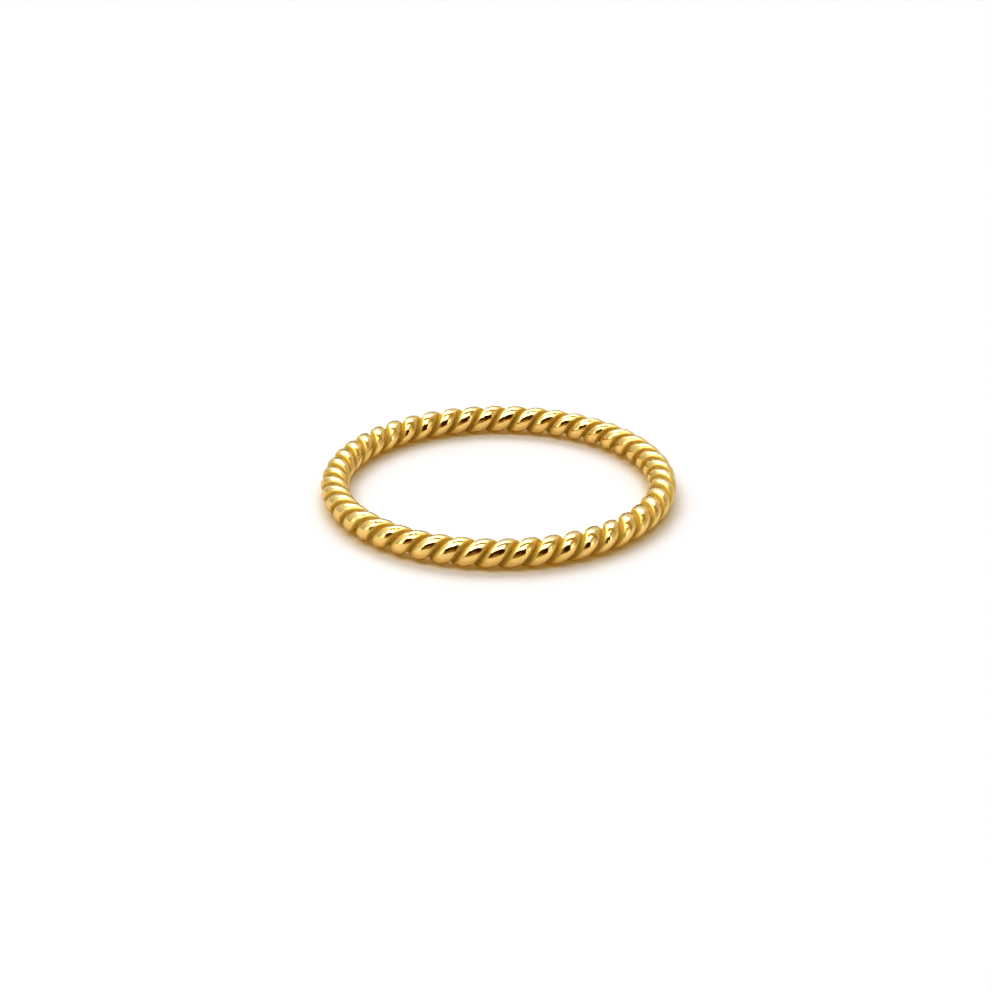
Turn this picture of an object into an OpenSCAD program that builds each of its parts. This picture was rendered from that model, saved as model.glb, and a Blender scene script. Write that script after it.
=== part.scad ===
// Rope twist ring: two strands twisted tightly round each other and closed into a finger ring.
// Each strand is nearly half round in section, with a domed crest, two rounded corners, a hollow flank at each
// groove and a flat inner side that lies against the other strand. The origin is the middle of the finger hole
// and +Z runs along the finger.

/* [Ring] */
// Inside diameter, where the finger goes through
bore_d = 17.3; // [13:0.1:23]
// Thickness of the rope over the crests of both strands
rope_d = 1.64; // [1:0.01:3]

/* [Twist] */
// Length of rope that a strand takes for one turn, over the rope's diameter
lay_ratio = 1.58; // [1.3:0.01:4]
// Angle round the rope at which the first strand's crest crosses +X, from 0 outward to 90 upward
twist_start = 119; // [0:1:359]

/* [Strand] */
// Radius of a strand's crest over the rope's radius, where 1 makes a smooth rope with narrow grooves
crest_share = 0.8; // [0.6:0.01:1]
// Radius of a strand's corners over the rope's radius, which sets how wide and deep the grooves are
corner_share = 0.37; // [0.1:0.01:0.42]
// Radius of the grooves' rounded bottoms over the rope's radius, where more makes the grooves shallower
groove_share = 0.25; // [0.1:0.01:0.4]
// Gap between the flat inner sides of the two strands
strand_gap = 0.03; // [0.01:0.01:0.08]

/* [Facets] */
// Sections along a strand in one turn of the twist, a multiple of 4 so that each side of the rope has a crest
turn_sections = 12; // [8:4:12]
// Steps over the crest, an even number so that the crest line has a corner of its own
crest_steps = 4; // [2:2:6]
// Steps round each of the two corners
corner_steps = 3; // [2:1:4]
// Steps down each of the two hollow flanks
groove_steps = 1; // [1:1:2]
// Steps across the flat inner side, an even number so that one corner runs along the rope's middle
flat_steps = 2; // [2:2:4]

/* [Hidden] */

gold = [0.86, 0.66, 0.27];

rope_r = rope_d / 2;
// Middle of the ring to the middle of the rope
ring_r = bore_d / 2 + rope_r;
// The strands close on themselves only after whole turns, so the ring takes the nearest whole number
turns = round(2 * PI * ring_r / (lay_ratio * rope_d));

// A strand's section, in the plane square to the rope: x from the rope's middle to the strand's crest and
// y across it. The crest arc, a corner arc and a hollow flank follow each other without a kink, then comes the
// flat inner side, and the other flank and corner lead back to the crest.
crest_r = crest_share * rope_r;
corner_r = corner_share * rope_r;
groove_r = groove_share * rope_r;
flat_x = strand_gap / 2;
crest_mid_x = rope_r - crest_r;
corner_mid_x = flat_x + corner_r;
corner_mid_y = sqrt(pow(crest_r - corner_r, 2) - pow(corner_mid_x - crest_mid_x, 2));
// A flank's circle stands in the groove, half way between the strands, and touches the corner's circle
groove_mid_y = corner_mid_y + sqrt(pow(corner_r + groove_r, 2) - pow(corner_mid_x, 2));
// Directions in which the crest arc passes into a corner arc, and the corner arc into the flank
crest_end = atan2(corner_mid_y, corner_mid_x - crest_mid_x);
corner_end = atan2(groove_mid_y - corner_mid_y, -corner_mid_x);
// Direction from a flank's middle to its lower end, at the edge of the flat inner side
groove_end = -acos(flat_x / groove_r);
flat_y = groove_mid_y + groove_r * sin(groove_end);

// Points on an arc from its first direction up to its last, without the last point
function arc(middle, radius, first, last, steps) =
    [for (k = [0 : steps - 1])
        let (turn = first + (last - first) * k / steps)
        middle + radius * [cos(turn), sin(turn)]];

outline = concat(
    arc([crest_mid_x, 0], crest_r, -crest_end, crest_end, crest_steps),
    arc([corner_mid_x, corner_mid_y], corner_r, crest_end, corner_end, corner_steps),
    arc([0, groove_mid_y], groove_r, corner_end - 180, groove_end, groove_steps),
    [for (k = [0 : flat_steps - 1]) [flat_x, flat_y * (1 - 2 * k / flat_steps)]],
    arc([0, -groove_mid_y], groove_r, -groove_end, 180 - corner_end, groove_steps),
    arc([corner_mid_x, -corner_mid_y], corner_r, 360 - corner_end, 360 - crest_end, corner_steps));

sides = len(outline);
first_flat = crest_steps + corner_steps + groove_steps;
sections = turns * turn_sections;

// A section's place is given by the angle round the ring and the angle round the rope (0 outward, 90 up).
// Both grow together, which winds the strands left-handed. The first section has its crest at the bottom.
function rope_angle(i) = -90 + i * 360 / turn_sections;
function ring_angle(i, start) = (rope_angle(i) - start) / turns;

// Unit vectors: outward at an angle round the ring, and up along the finger
function outward(at) = [cos(at), sin(at), 0];
up = [0, 0, 1];

// Away from the rope's middle at an angle round the rope, and the way in which that angle grows
function away(at, round) = cos(round) * outward(at) + sin(round) * up;
function across(at, round) = -sin(round) * outward(at) + cos(round) * up;

// The outline put in its place on the rope
function section(at, round) =
    [for (p = outline) ring_r * outward(at) + p.x * away(at, round) + p.y * across(at, round)];

// Number of the point at corner j of section i, where both wrap round
function corner(i, j) = (i % sections) * sides + j % sides;

// The two triangles of the patch between corners j and j + 1 of sections i and i + 1. Round the crest the
// diagonal that runs nearly along the rope keeps the strand full. On the flat inner side the other diagonal
// leaves the face a little hollow, so the flats of the two strands stay apart between sections too.
function patch(i, j) =
    let (a = corner(i, j),
         b = corner(i, j + 1),
         c = corner(i + 1, j + 1),
         d = corner(i + 1, j),
         on_flat = j >= first_flat && j < first_flat + flat_steps)
    on_flat ? [[a, b, c], [a, c, d]] : [[a, b, d], [b, c, d]];

// One closed strand: its sections joined by triangles, the last to the first
module strand(start) {
    points = [for (i = [0 : sections - 1]) each section(ring_angle(i, start), rope_angle(i))];
    faces = [for (i = [0 : sections - 1], j = [0 : sides - 1]) each patch(i, j)];
    polyhedron(points = points, faces = faces, convexity = 10);
}

module strand_a() {
    color(gold) strand(twist_start);
}

module strand_b() {
    color(gold) strand(twist_start + 180);
}

strand_a();
strand_b();
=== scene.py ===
# %% [markdown]
# # A rope twist ring, lying on its side
#
# The real object is a slim finger ring of yellow gold. Two strands are twisted round each other like a
# two-strand rope, the rope is bent round until its ends meet, and the whole is polished. This lesson
# builds the two strands as smooth surfaces, gives them a polished gold finish, and sets them in the bright
# light tent that such rings are photographed in. The faceted solids of the frame say where everything
# goes: the middle of the finger hole is the origin, +Z runs along the finger, and the ring lies on its
# side.

import bpy
import numpy as np
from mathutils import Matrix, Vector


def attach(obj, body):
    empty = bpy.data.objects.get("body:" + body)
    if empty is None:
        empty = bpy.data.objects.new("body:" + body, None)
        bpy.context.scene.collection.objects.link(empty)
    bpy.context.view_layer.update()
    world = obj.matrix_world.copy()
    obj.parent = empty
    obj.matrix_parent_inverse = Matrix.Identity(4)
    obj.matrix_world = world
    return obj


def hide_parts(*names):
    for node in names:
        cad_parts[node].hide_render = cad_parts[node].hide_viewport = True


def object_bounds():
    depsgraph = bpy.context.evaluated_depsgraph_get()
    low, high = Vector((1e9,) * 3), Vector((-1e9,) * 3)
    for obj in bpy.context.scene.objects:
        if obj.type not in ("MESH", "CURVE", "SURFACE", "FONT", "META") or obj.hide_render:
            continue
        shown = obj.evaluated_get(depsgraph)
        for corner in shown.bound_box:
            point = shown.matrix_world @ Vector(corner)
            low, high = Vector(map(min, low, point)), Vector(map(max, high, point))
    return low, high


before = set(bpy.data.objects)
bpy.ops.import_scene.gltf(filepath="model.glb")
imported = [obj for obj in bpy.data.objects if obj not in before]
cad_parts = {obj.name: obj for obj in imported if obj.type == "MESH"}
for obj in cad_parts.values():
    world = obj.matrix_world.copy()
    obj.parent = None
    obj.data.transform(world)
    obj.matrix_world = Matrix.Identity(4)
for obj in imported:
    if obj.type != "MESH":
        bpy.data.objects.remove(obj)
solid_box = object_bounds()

MM = 0.001  # one millimetre in Blender's metres
PER_MM = 1 / MM  # scale of a pattern that repeats once in a millimetre
print("solids, in mm:", [[round(c / MM, 3) for c in corner] for corner in solid_box])

# %% [markdown]
# ## Sizes
#
# The ring has few sizes, and all else follows from them. The finger hole sets how far out the rope lies,
# the rope's thickness sets its crests, and the length of one turn sets how many turns fit. A closed strand
# needs a whole number of turns, because it has to meet itself.

# %% The ring's sizes, in millimetres
BORE = 17.3  # inside diameter
ROPE = 1.64  # thickness of the rope over both crests
TURNS = 23  # turns of each strand round the rope
CREST_SHARE = 0.80  # radius of a strand's crest over the rope's radius
CORNER_SHARE = 0.37  # radius of a strand's corners over the rope's radius
GROOVE_SHARE = 0.25  # radius of the grooves' rounded bottoms over the rope's radius
GAP = 0.03  # between the flat inner sides of the two strands
START = 119.0  # degrees round the rope at which the first strand crosses +X

rope_r = ROPE / 2
ring_r = BORE / 2 + rope_r
print("middle of the ring to the middle of the rope:", ring_r, "mm")
print("one turn of a strand takes", round(2 * np.pi * ring_r / TURNS, 3), "mm of rope")

# %% [markdown]
# ## The camera
#
# The camera comes before any shape, so that each piece can be compared with the photograph as soon as it
# exists. It looks at the ring from the front, 24 degrees above the floor. The ring's near and far sides
# differ little in size, so it stands well away, nearly 13 times the ring's radius, with a long lens. The
# picture's middle lies a little off the ring, which a small lens shift does without turning the camera.

# %% Place the camera
PHOTO_SIDE = 991  # the picture's width and height in pixels
LENS_PIXELS = 2090.2  # focal length in pixels of that picture
RING_PIXEL = (498.6, 481.4)  # where the middle of the ring falls
TILT = 0.4228  # radians above the floor
DISTANCE = 12.80 * ring_r * MM
SENSOR = 36.0  # width of the camera's sensor in millimetres
NEAREST = 1 * MM  # nothing closer to the lens is drawn

camera_data = bpy.data.cameras.new("camera")
camera_data.sensor_width = SENSOR
camera_data.lens = LENS_PIXELS / PHOTO_SIDE * SENSOR
camera_data.shift_x = (PHOTO_SIDE / 2 - RING_PIXEL[0]) / PHOTO_SIDE
camera_data.shift_y = (RING_PIXEL[1] - PHOTO_SIDE / 2) / PHOTO_SIDE
camera_data.clip_start = NEAREST
camera = bpy.data.objects.new("camera", camera_data)
camera.location = (0, -DISTANCE * np.cos(TILT), DISTANCE * np.sin(TILT))
camera.rotation_euler = (np.pi / 2 - TILT, 0, 0)
bpy.context.collection.objects.link(camera)
bpy.context.scene.camera = camera
print("lens", round(camera_data.lens, 1), "mm at", round(DISTANCE / MM), "mm from the ring")

# %% [markdown]
# ## The section of a strand
#
# Cut square across the rope, a strand is nearly half round. Its crest is domed a little more than the
# rope, and its two corners are rounded. Under each corner a short hollow flank makes half of a groove's
# rounded bottom, and the inner side is flat where it lies against the other strand. A circle would be
# simpler, but round wires leave deep notches between the crests, and on the real ring the notches are
# shallow. So the outline is five arcs and a line. The arcs pass into each other without a kink, and only
# the flat side has two edges.


# %% Work out the outline
def arc(middle, radius, first, last, steps):
    """Points on a circle round `middle`, from the angle `first` up to `last` without the last one, and the
    direction away from its middle at each: middle + radius * (cos, sin)."""
    angle = np.linspace(first, last, steps, endpoint=False)
    out = np.stack([np.cos(angle), np.sin(angle)], 1)
    return np.array(middle) + radius * out, out


def strand_outline(crest_steps, corner_steps, flank_steps, flat_steps):
    """The closed outline in the plane square to the rope, with x from the rope's middle to the crest, and
    the way out of the metal at each point. The crest's circle touches the rope's surface at (rope_r, 0). A
    corner's circle touches the crest's circle from inside and the line of the flat side, so its middle is
    corner_r beyond the flat and crest_r - corner_r from the middle of the crest's circle. A flank's circle
    stands in the groove, half way between the strands, and touches the corner's circle from outside."""
    crest_r, corner_r, flank_r = CREST_SHARE * rope_r, CORNER_SHARE * rope_r, GROOVE_SHARE * rope_r
    flat_x = GAP / 2
    crest_x, corner_x = rope_r - crest_r, flat_x + corner_r
    corner_y = np.sqrt((crest_r - corner_r) ** 2 - (corner_x - crest_x) ** 2)
    flank_y = corner_y + np.sqrt((corner_r + flank_r) ** 2 - corner_x ** 2)
    turn = np.arctan2(corner_y, corner_x - crest_x)
    touch = np.arctan2(flank_y - corner_y, -corner_x)
    bottom = -np.arccos(flat_x / flank_r)
    crest = arc((crest_x, 0), crest_r, -turn, turn, crest_steps)
    corner = arc((corner_x, corner_y), corner_r, turn, touch, corner_steps)
    flank = arc((0, flank_y), flank_r, touch - np.pi, bottom, flank_steps)
    flat_y = np.linspace(1, -1, flat_steps, endpoint=False) * (flank_y + flank_r * np.sin(bottom))
    flat = np.stack([flat_x + 0 * flat_y, flat_y], 1), np.tile([-1.0, 0.0], (flat_steps, 1))
    other_flank = arc((0, -flank_y), flank_r, -bottom, np.pi - touch, flank_steps)
    other_corner = arc((corner_x, -corner_y), corner_r, 2 * np.pi - touch, 2 * np.pi - turn, corner_steps)
    flank, other_flank = (flank[0], -flank[1]), (other_flank[0], -other_flank[1])
    return [np.concatenate(part) for part in zip(crest, corner, flank, flat, other_flank, other_corner)]


outline, outline_out = strand_outline(crest_steps=28, corner_steps=12, flank_steps=6, flat_steps=4)
print("outline of", len(outline), "points,", np.ptp(outline, axis=0).round(3), "mm")

# %% [markdown]
# ## A twist made by hand
#
# A rope that is twisted by hand and then bent is never quite even: in the photograph some crests stand a
# little closer together than others. The same three slow waves move the crests of both strands to and fro
# along the rope, by about half a degree of the ring each, so the strands still fit into each other
# everywhere.


# %% The angle of the twist
UNEVEN = [(-0.404, 0.213), (0.394, 0.329), (0.461, 0.306)]  # cosine and sine waves, in degrees of the ring
UNEVEN_MEAN = 0.10  # the same lag everywhere, in degrees of the ring


def twist_angle(ring_angle, first):
    """Angle round the rope of a strand's crest (0 outward, pi/2 up) at an angle round the ring. It grows
    by TURNS whole turns in one round of the ring, which makes a left-handed rope, and lags by the waves."""
    lag = UNEVEN_MEAN + 0 * ring_angle
    for number, (c, s) in enumerate(UNEVEN, start=1):
        lag = lag + c * np.cos(number * ring_angle) + s * np.sin(number * ring_angle)
    return TURNS * (ring_angle - np.radians(lag)) + np.radians(first)


# %% [markdown]
# ## Polishing marks in the shape
#
# A hand-held ring is polished on a soft wheel, which leaves the crests very slightly wavy. Nobody sees the
# waves themselves, but they make the reflections swim, and without them the metal looks like plastic. They
# are cut inward only, so the ring doesn't grow. A sum of sine waves with whole numbers of periods closes
# on itself round the strand and along it.


# %% Waves from the polishing wheel
WAVE_DEPTH = 0.014  # millimetres, deepest cut
WAVE_COUNT = 24
ALONG_PERIODS = (40, 230)  # a wave's periods in one round of the ring, from the first to below the second
ROUND_PERIODS = (-5, 6)  # the same round a strand's outline, where less than 0 slants the other way
WAVE_SEED = 7
wave_rng = np.random.default_rng(WAVE_SEED)


def polish_waves(along, round_, rng):
    """Depth of the cut at each point: a sum of sines of p * along + q * round_ + a phase, with whole
    numbers p and q, brought to the range from 0 to 1."""
    total = 0
    for _ in range(WAVE_COUNT):
        p, q = rng.integers(*ALONG_PERIODS), rng.integers(*ROUND_PERIODS)
        total = total + np.sin(p * along + q * round_ + rng.uniform(0, 2 * np.pi))
    return (total - total.min()) / np.ptp(total)


# %% [markdown]
# ## Carrying the outline round the ring
#
# The strand is a surface of two parameters: the angle round the ring, and the place on the outline. At
# each angle the outline stands in the plane square to the rope, turned by the twist. Because both strands
# come from the same outline, half a turn apart, they fit without touching.


# %% Strand surface
STEPS_PER_TURN = 48  # sections in one turn of the twist


def strand_surface(first):
    """Grid of points, sections by outline points. With a the twist angle and (x, y) a point of the
    outline, it lies ring_r + x cos a - y sin a from the finger's axis, and x sin a + y cos a up."""
    ring_angle = np.linspace(0, 2 * np.pi, TURNS * STEPS_PER_TURN, endpoint=False)[:, None]
    place = np.linspace(0, 2 * np.pi, len(outline), endpoint=False)[None, :]
    cut = WAVE_DEPTH * polish_waves(ring_angle, place, wave_rng)
    x = outline[:, 0] - cut * outline_out[:, 0]
    y = outline[:, 1] - cut * outline_out[:, 1]
    a = twist_angle(ring_angle, first)
    out = ring_r + x * np.cos(a) - y * np.sin(a)
    up = x * np.sin(a) + y * np.cos(a)
    return np.stack([out * np.cos(ring_angle), out * np.sin(ring_angle), up], -1)


# %% [markdown]
# ## From a grid to a mesh
#
# Both directions of the grid close on themselves, like a tube that bites its tail, so there is no seam and
# no pole. Each point also keeps how deep it lies in the groove, from 0 on the crest to 1 at the rope's
# middle. The gold finish reads it later, because polish reaches the crests and not the grooves, and the
# grooves' base colour carries painted shade.


# %% Make a closed mesh from the grid
def closed_mesh(name, grid, depth):
    """A quad for each cell of the grid, wrapping round both ways and wound so that the faces look out."""
    rows, columns = grid.shape[:2]
    i, j = np.arange(rows)[:, None], np.arange(columns)[None, :]
    i2, j2 = (i + 1) % rows, (j + 1) % columns
    corners = [i * columns + j, i2 * columns + j, i2 * columns + j2, i * columns + j2]
    quads = np.stack(corners, -1).reshape(-1, 4)
    mesh = bpy.data.meshes.new(name)
    mesh.vertices.add(rows * columns)
    mesh.vertices.foreach_set("co", (grid * MM).ravel())
    mesh.loops.add(quads.size)
    mesh.loops.foreach_set("vertex_index", quads.ravel())
    mesh.polygons.add(len(quads))
    mesh.polygons.foreach_set("loop_start", np.arange(0, quads.size, 4))
    groove = mesh.attributes.new("groove", "FLOAT", "POINT")
    depth_of_each = np.broadcast_to(depth, (rows, columns))
    groove.data.foreach_set("value", np.ascontiguousarray(depth_of_each, np.float32).ravel())
    mesh.update(calc_edges=True)
    mesh.validate()
    mesh.shade_smooth()
    piece = bpy.data.objects.new(name, mesh)
    bpy.context.collection.objects.link(piece)
    return piece


def signed_volume(grid):
    """Volume inside the grid's quads, by the sum of a . (b x c) / 6 over triangles. It is positive where
    the faces look outwards."""
    a, b = grid, np.roll(grid, -1, 0)
    c, d = np.roll(b, -1, 1), np.roll(grid, -1, 1)
    return sum(np.sum(p * np.cross(q, s)) for p, q, s in ((a, b, c), (a, c, d))) / 6


# %% Build both strands
groove_depth = 1 - np.hypot(outline[:, 0], outline[:, 1]) / rope_r
strands = []
for name, first in (("strand_a", START), ("strand_b", START + 180)):
    grid = strand_surface(first)
    piece = closed_mesh("smooth_" + name, grid, groove_depth)
    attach(piece, "root")
    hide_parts(name)
    strands.append(piece)
    print(piece.name, len(piece.data.polygons), "quads,", round(signed_volume(grid), 2), "mm3")

# %% [markdown]
# ## Writing shader maths as Python
#
# A material or a light setting is a graph of nodes. Drawing it line by line in code is long and hard to
# read, so one small class wraps an output socket and overloads the arithmetic signs. Then `1 - mask * 0.5`
# adds the Math nodes that it needs. Colours and other nodes come from one method of the workbench that
# holds the graph. Two more methods make masks with soft edges, of which the light is mostly made.


# %% Sockets with arithmetic
class Value:
    """An output socket. Arithmetic on one that holds a number adds Math nodes to its graph."""

    def __init__(self, bench, socket):
        self.bench, self.socket = bench, socket

    def _math(self, operation, *terms):
        return self.bench.node("Math", {"operation": operation}, dict(enumerate(terms)))

    def __add__(self, other):
        return self._math("ADD", self, other)

    __radd__ = __add__

    def __sub__(self, other):
        return self._math("SUBTRACT", self, other)

    def __rsub__(self, other):
        return self._math("SUBTRACT", other, self)

    def __mul__(self, other):
        return self._math("MULTIPLY", self, other)

    __rmul__ = __mul__


class Bench:
    """A graph of nodes that is being built."""

    def __init__(self, tree):
        self.tree = tree

    def node(self, kind, settings=None, inputs=None, output=0):
        """Adds a node: first its settings, then a value or a link for each input, by name or number."""
        node = self.tree.nodes.new("ShaderNode" + kind)
        for name, setting in (settings or {}).items():
            setattr(node, name, setting)
        for name, term in (inputs or {}).items():
            if isinstance(term, Value):
                self.tree.links.new(term.socket, node.inputs[name])
            else:
                node.inputs[name].default_value = term
        return Value(self, node.outputs[output])

    def noise(self, place, scale, **inputs):
        """A cloudy pattern from 0 to 1, whose middle value is near 0.5."""
        return self.node("TexNoise", None, {"Vector": place, "Scale": scale, **inputs})

    def between(self, value, low, high):
        """0 below low, 1 above high, and a smooth rise between. With low above high it falls instead."""
        return self.node("MapRange", {"interpolation_type": "SMOOTHSTEP"}, {0: value, 1: low, 2: high})

    def span(self, value, start, full, fading, end):
        """0 up to start, 1 from full to fading, 0 again from end on, and smooth in between."""
        return self.between(value, start, full) * self.between(value, end, fading)

    def blend(self, share, first, second):
        """The first colour where share is 0 and the second where it is 1."""
        return self.node("Mix", {"data_type": "RGBA"}, {0: share, 6: first, 7: second}, output=2)

    def link(self, value, node, name):
        self.tree.links.new(value.socket, node.inputs[name])


# %% [markdown]
# ## Polished gold
#
# Gold is a bare metal: its colour is the colour of its reflections, so the shader is fully metallic and
# the base colour is a natural yellow. Seen nearly edge on, a metal's reflections turn paler and brighter,
# and the edge tint holds that back a little. Two things make the gold look worked and not cast from
# plastic. The crests are mirror bright, and the grooves, which the wheel doesn't reach, are dull. The
# grooves' base colour is also darker and a shade more olive, with a gritty, uneven strength: that is
# painted shade, for the light that the strands hide from each other. And the polish isn't even: the gloss
# is cloudy, and a bump carries small dents, grain and very faint hairlines. All of them are read from the
# piece's own coordinates, so they stay on the metal when it moves.

# %% Colours of the gold
GOLD = (0.93, 0.68, 0.28, 1.0)
# painted shade: the grooves' base colour, darker and more olive than the crests' gold
GROOVE_SHADED_GOLD = (0.73, 0.55, 0.145, 1.0)
EDGE_TINT = (0.80, 0.80, 0.75, 1.0)
# the groove's finish is its roughness and its painted shade
GROOVE_DEPTHS = (0.02, 0.20)  # depth at which the groove's finish begins, and from which it is full
CLOUDS = 1.6 * PER_MM  # clouds in a millimetre
GRIT = 5.0 * PER_MM
GROOVE_SHADE_LEAST, GROOVE_SHADE_CLOUDS, GROOVE_SHADE_GRIT = 0.5, 0.4, 0.6  # what the strength of the groove's colour is made of

gold = bpy.data.materials.new("polished_gold")
gold.use_nodes = True
bench = Bench(gold.node_tree)
shader = gold.node_tree.nodes["Principled BSDF"]
shader.inputs["Metallic"].default_value = 1.0
shader.inputs["Specular Tint"].default_value = EDGE_TINT

place = bench.node("TexCoord", output="Object")
depth = bench.node("Attribute", {"attribute_name": "groove"}, output="Fac")
in_groove = bench.between(depth, *GROOVE_DEPTHS)
clouds = bench.noise(place, CLOUDS, Detail=3.0, Roughness=0.6)
grit = bench.noise(place, GRIT, Detail=2.0, Roughness=0.6)
# strength of the painted shade in the grooves, made uneven by the clouds and the grit
groove_shade = in_groove * (GROOVE_SHADE_LEAST + GROOVE_SHADE_CLOUDS * clouds + GROOVE_SHADE_GRIT * grit)
bench.link(bench.blend(groove_shade, GOLD, GROOVE_SHADED_GOLD), shader, "Base Color")
print("grooves' finish from depth", GROOVE_DEPTHS[0], "and in full from", GROOVE_DEPTHS[1])

# %% Gloss and fine relief
ROUGHNESS_LEAST, ROUGHNESS_CLOUDS, ROUGHNESS_GROOVE = 0.02, 0.08, 0.78  # the three are added up
DENTS = 2.6 * PER_MM
GRAIN = 7.0 * PER_MM
HAIRLINES = 1.5 * PER_MM
HAIRLINE_TURN = (0.4, 0.7, 0.3)  # radians, a slant that follows no edge of the ring
HAIRLINE_SQUEEZE = (1.0, 14.0, 14.0)  # a hairline is this many times as long as it is wide
HAIRLINE_SHARE, GRAIN_SHARE = 0.03, 0.26  # heights, with the dents' height as 1
BUMP_STRENGTH = 0.8
BUMP_HEIGHT = 0.02 * MM

roughness = ROUGHNESS_LEAST + ROUGHNESS_CLOUDS * clouds + ROUGHNESS_GROOVE * in_groove
bench.link(roughness, shader, "Roughness")
dents = bench.noise(place, DENTS, Detail=1.0)
grain = bench.noise(place, GRAIN, Detail=0.0)
squeeze = {"Vector": place, "Rotation": HAIRLINE_TURN, "Scale": HAIRLINE_SQUEEZE}
hairlines = bench.noise(bench.node("Mapping", None, squeeze), HAIRLINES, Detail=4.0, Roughness=0.7)
relief = dents + HAIRLINE_SHARE * hairlines + GRAIN_SHARE * grain
bump = bench.node("Bump", None, {"Strength": BUMP_STRENGTH, "Distance": BUMP_HEIGHT, "Height": relief})
bench.link(bump, shader, "Normal")
for piece in strands:
    piece.data.materials.append(gold)
print("gold finish with", len(gold.node_tree.nodes), "nodes")

# %% [markdown]
# ## The floor
#
# The ring lies on a plain white board. The board is only stage, so it is one large square just under the
# crests, with a faint mottle so that it isn't a flat colour. It has a soft sheen: the photograph shows a
# soft shadow under the ring and no mirror image. Gold throws a little warm light back on the floor close
# to it. A render takes long to find that light through the mirror bright metal, so a faint warm tone and
# glow on the board, by the distance from the rope's middle line, stand in for it.

# %% Lay the floor
FLOOR_HALF = 1.5  # metres
floor_z = solid_box[0][2]
floor_mesh = bpy.data.meshes.new("floor")
floor_corners = [(x * FLOOR_HALF, y * FLOOR_HALF, floor_z) for x, y in ((-1, -1), (1, -1), (1, 1), (-1, 1))]
floor_mesh.from_pydata(floor_corners, [], [(0, 1, 2, 3)])
floor = bpy.data.objects.new("floor", floor_mesh)
bpy.context.collection.objects.link(floor)
print("floor at", round(floor_z / MM, 3), "mm")

# %% White board
BOARD = (0.685, 0.674, 0.625, 1)
BOARD_MOTTLE = (0.705, 0.694, 0.645, 1)
BOARD_NEAR = (0.695, 0.65, 0.54, 1)
GLOW = (0.21, 0.135, 0.015, 1)
NO_GLOW = (0, 0, 0, 1)
MOTTLE = 0.2 * PER_MM
NEAR_REACH = (1.9, 0.4)  # millimetres from the rope's middle line: no warm tone yet, and all of it
GLOW_REACH = (1.1, 0.1)  # the same for the glow
BOARD_ROUGHNESS = 0.55

board = bpy.data.materials.new("white_board")
board.use_nodes = True
bench = Bench(board.node_tree)
shader = board.node_tree.nodes["Principled BSDF"]
place = bench.node("TexCoord", output="Object")
flat_place = bench.node("VectorMath", {"operation": "MULTIPLY"}, {0: place, 1: (PER_MM, PER_MM, 0.0)})
reach = bench.node("VectorMath", {"operation": "LENGTH"}, {0: flat_place}, output="Value")
away = bench.node("Math", {"operation": "ABSOLUTE"}, {0: reach - ring_r})
white = bench.blend(bench.noise(place, MOTTLE, Detail=3.0), BOARD, BOARD_MOTTLE)
bench.link(bench.blend(bench.between(away, *NEAR_REACH), white, BOARD_NEAR), shader, "Base Color")
bench.link(bench.blend(bench.between(away, *GLOW_REACH), NO_GLOW, GLOW), shader, "Emission Color")
shader.inputs["Emission Strength"].default_value = 1.0
shader.inputs["Roughness"].default_value = BOARD_ROUGHNESS
floor_mesh.materials.append(board)
print("board with", len(board.node_tree.nodes), "nodes")

# %% [markdown]
# ## Light
#
# A mirror shows its surroundings, so lighting polished metal means building what it sees. The photograph
# was taken in a light tent, and each front crest holds a small picture of it: two white bands with a line
# between them, a dark eye under them, and a bright rim beside the eye. The bands are a white panel over
# the ring with a seam across it, the eye is the open dark front where the camera looks in, and the rims
# are the bright edges beside that opening.
#
# The tent is painted on the world by direction, in four measures. `height` is the angle above the floor
# and `turn` the angle away from the camera's side, to the right where it is above 0. `side` says how far
# the direction leans to the right, from -1 to 1. `arch` runs over the top like a bow: 0 level to the
# front, 90 straight up, 180 level to the back. Patches with soft edges are laid over each other like
# sheets of paper, and a streaky pattern keeps their edges from being too clean.

# %% Directions
STREAKS = 7.0  # about this many streaks for each step of 1 along a direction
STREAK_EDGE = (0.44, 0.54)  # values of the pattern between which a streak rises

world = bpy.data.worlds.new("light_tent")
bpy.context.scene.world = world
world.use_nodes = True
bench = Bench(world.node_tree)


def direction_angle(operation, *terms):
    """The angle in degrees of an inverse function, such as the arctangent of two of a direction's parts."""
    return bench.node("Math", {"operation": operation}, dict(enumerate(terms))) * float(np.degrees(1))


direction = bench.node("TexCoord", output="Generated")
side, back, up = (bench.node("SeparateXYZ", None, {0: direction}, output=axis) for axis in "XYZ")
height = direction_angle("ARCSINE", up)
turn = direction_angle("ARCTAN2", side, 0 - back)
arch = direction_angle("ARCTAN2", up, 0 - back)
turn_either_way = bench.node("Math", {"operation": "ABSOLUTE"}, {0: turn})
streaks = bench.noise(direction, STREAKS, Detail=4.0, Roughness=0.7)
streak = bench.between(streaks, *STREAK_EDGE)
print("directions take", len(world.node_tree.nodes), "nodes")


def frayed(angle, width):
    """The angle moved to and fro by the streaks, over a width in degrees, which makes an edge ragged."""
    return angle + width * (streaks - 0.5)


# %% Walls of the tent
SIDE_LOW = (0.68, 0.70, 0.72, 1)
SIDE_HIGH = (1.12, 1.15, 1.18, 1)
SIDE_HEIGHT = (0, 60)  # the walls grow brighter from the floor up to here
SHADED_SIDE = (0.74, 0.73, 0.66, 1)
SHADED_FROM = (0.35, 0.60)  # how far to the right the shaded wall begins
SHADED_HEIGHT = (8, 22)
BACK_WALL = (0.93, 1.02, 1.34, 1)
BACK_TURN = (132, 152)
HORIZON = (0.48, 0.48, 0.42, 1)  # a low grey strip far behind, which draws fine lines on the crests' tops
HORIZON_TURN = (158, 170)
HORIZON_HEIGHT = (20, 9)

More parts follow.
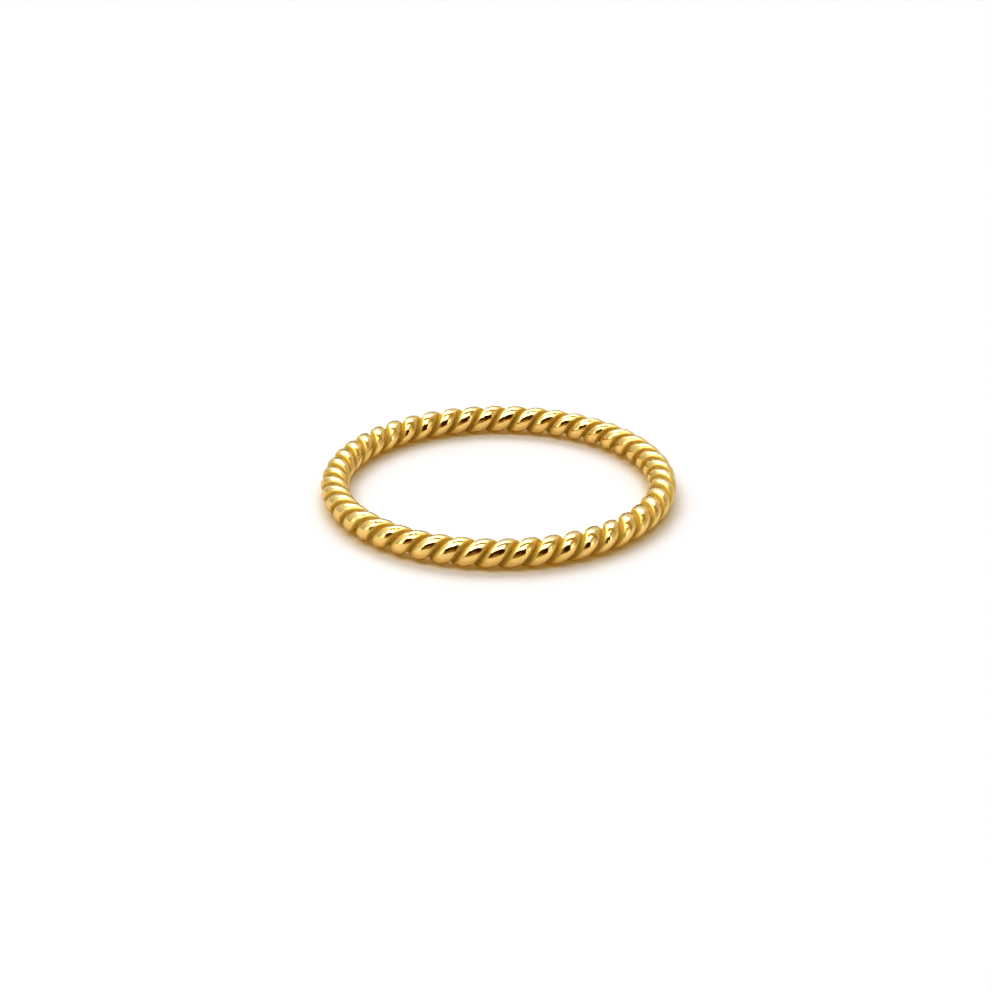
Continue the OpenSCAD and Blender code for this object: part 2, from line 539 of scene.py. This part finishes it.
tent = bench.blend(bench.between(height, *SIDE_HEIGHT), SIDE_LOW, SIDE_HIGH)
shaded = bench.between(side, *SHADED_FROM) * bench.between(height, *SHADED_HEIGHT)
tent = bench.blend(shaded, tent, SHADED_SIDE)
tent = bench.blend(bench.between(turn_either_way, *BACK_TURN), tent, BACK_WALL)
horizon = bench.between(turn_either_way, *HORIZON_TURN) * bench.between(height, *HORIZON_HEIGHT)
tent = bench.blend(horizon, tent, HORIZON)
print("walls, from", SIDE_LOW[0], "at the floor to", SIDE_HIGH[0], "above")

# %% Bright edges beside the opening
EDGE = (1.45, 1.70, 2.10, 1)
EDGE_TURN = (-86, -72, 62, 76)
EDGE_HEIGHT = (-1, 0, 40, 58)
EDGE_ARCH = (90, 80)
EDGE_LEAST, EDGE_STREAKS = 0.55, 0.45  # strength of the edges between the streaks, and what a streak adds
LEFT_LID = (1.35, 1.35, 1.40, 1)  # the brighter top of the left wall
LEFT_LID_SIDE = (-0.88, -0.76, -0.55, -0.40)
LEFT_LID_HEIGHT = (34, 54)
LEFT_LID_LEAST, LEFT_LID_STREAKS = 0.4, 0.6

edge = bench.span(turn, *EDGE_TURN) * bench.span(height, *EDGE_HEIGHT) * bench.between(arch, *EDGE_ARCH)
tent = bench.blend(edge * (EDGE_LEAST + EDGE_STREAKS * streak), tent, EDGE)
left_lid = bench.span(side, *LEFT_LID_SIDE) * bench.between(height, *LEFT_LID_HEIGHT)
tent = bench.blend(left_lid * (LEFT_LID_LEAST + LEFT_LID_STREAKS * streak), tent, LEFT_LID)
print("edges beside the opening from", EDGE_TURN[0], "to", EDGE_TURN[-1], "degrees")

# %% White panel over the ring, and its seam
PANEL = (3.7, 3.7, 4.1, 1)
PANEL_LEFT = (-0.54, -0.42)
PANEL_WIDER = 0.22  # by how much the panel's front half reaches further to the left
PANEL_WIDER_ARCH = (96, 84)
PANEL_RIGHT = (0.48, 0.37)
PANEL_FRONT = (56, 62)  # arch at which the panel begins
PANEL_BACK = (142, 134)  # arch at which it ends in the middle
PANEL_BACK_SLANT = 20  # degrees by which it ends later on the left, and sooner on the right
SEAM = (0.40, 0.32, 0.14, 1)
SEAM_ARCH = (86, 89, 109, 112)
SEAM_LEFT = (-0.50, -0.36)
SEAM_FRAY = 12
SEAM_SHARE = 0.95

wider = side + PANEL_WIDER * bench.between(arch, *PANEL_WIDER_ARCH)
panel = bench.between(wider, *PANEL_LEFT) * bench.between(side, *PANEL_RIGHT)
panel = panel * bench.between(arch, *PANEL_FRONT)
panel = panel * bench.between(arch + PANEL_BACK_SLANT * side, *PANEL_BACK)
tent = bench.blend(panel, tent, PANEL)
seam = bench.span(frayed(arch, SEAM_FRAY), *SEAM_ARCH) * bench.between(side, *SEAM_LEFT)
tent = bench.blend(SEAM_SHARE * seam, tent, SEAM)
print("panel over", PANEL_BACK[0] - PANEL_FRONT[0], "degrees of arch")

# %% Shade beside the panel on the right
SHADE = (0.58, 0.50, 0.30, 1)
SHADE_FROM = (0.38, 0.50)
SHADE_HEIGHT = (28, 38, 58, 66)
SHADE_ARCH = (118, 100)
SHADE_SHARE = 0.8

shade = bench.between(side, *SHADE_FROM) * bench.span(height, *SHADE_HEIGHT)
shade = shade * bench.between(arch, *SHADE_ARCH)
tent = bench.blend(SHADE_SHARE * shade, tent, SHADE)
print("shade from", SHADE_HEIGHT[0], "to", SHADE_HEIGHT[-1], "degrees up")

# %% [markdown]
# ## The open front
#
# The opening isn't evenly black. Near the floor it is brown, where the board in front of the tent catches
# some light, and higher up it is nearly black. Two darker places low in it give the eyes their darkest
# spots. The opening is laid on last, so it cuts off the panel at the front and the bright edges on both
# sides.

# %% Cut the opening
OPENING = (0.42, 0.31, 0.07, 1)
DEEP = (0.11, 0.05, 0.001, 1)
DEEP_ARCH = (17, 33)
DEEP_FRAY = 30
CORE = (0.07, 0.02, 0.001, 1)
CORE_TURN, CORE_HEIGHT, CORE_SHARE = (2, 12), (1, 12), 0.9
LEFT_CORE_TURN, LEFT_CORE_HEIGHT, LEFT_CORE_SHARE = (-30, -36), (6, 16), 0.5
TOP_EDGE = (56, 53)  # in the middle, the arch above which it is gone and the arch up to which it is whole
TOP_SLANT = 7  # degrees by which the opening is lower on the right and higher on the left
TOP_FRAY = 20
OPENING_TURN = (-59, -53, 45, 51)

opening = bench.blend(bench.between(frayed(arch, DEEP_FRAY), *DEEP_ARCH), OPENING, DEEP)
core = bench.between(turn, *CORE_TURN) * bench.between(height, *CORE_HEIGHT)
opening = bench.blend(CORE_SHARE * core, opening, CORE)
left_core = bench.between(turn, *LEFT_CORE_TURN) * bench.between(height, *LEFT_CORE_HEIGHT)
opening = bench.blend(LEFT_CORE_SHARE * left_core, opening, CORE)
below_top = bench.between(frayed(arch, TOP_FRAY) + TOP_SLANT * side, *TOP_EDGE)
tent = bench.blend(below_top * bench.span(turn, *OPENING_TURN), tent, opening)
bench.link(tent, world.node_tree.nodes["Background"], "Color")
print("light tent with", len(world.node_tree.nodes), "nodes")

# %% [markdown]
# ## The picture's contrast
#
# The photograph is a little more contrasty than the plain view: its dark eyes are darker and its gold is
# deeper. A gamma below 1 does that to the whole picture, and the floor is bright enough to stay white.

# %% Set the contrast
CONTRAST = 1.4

picture = bpy.context.scene.view_settings
picture.view_transform = "Standard"
picture.gamma = 1 / CONTRAST
print("gamma", round(picture.gamma, 3))
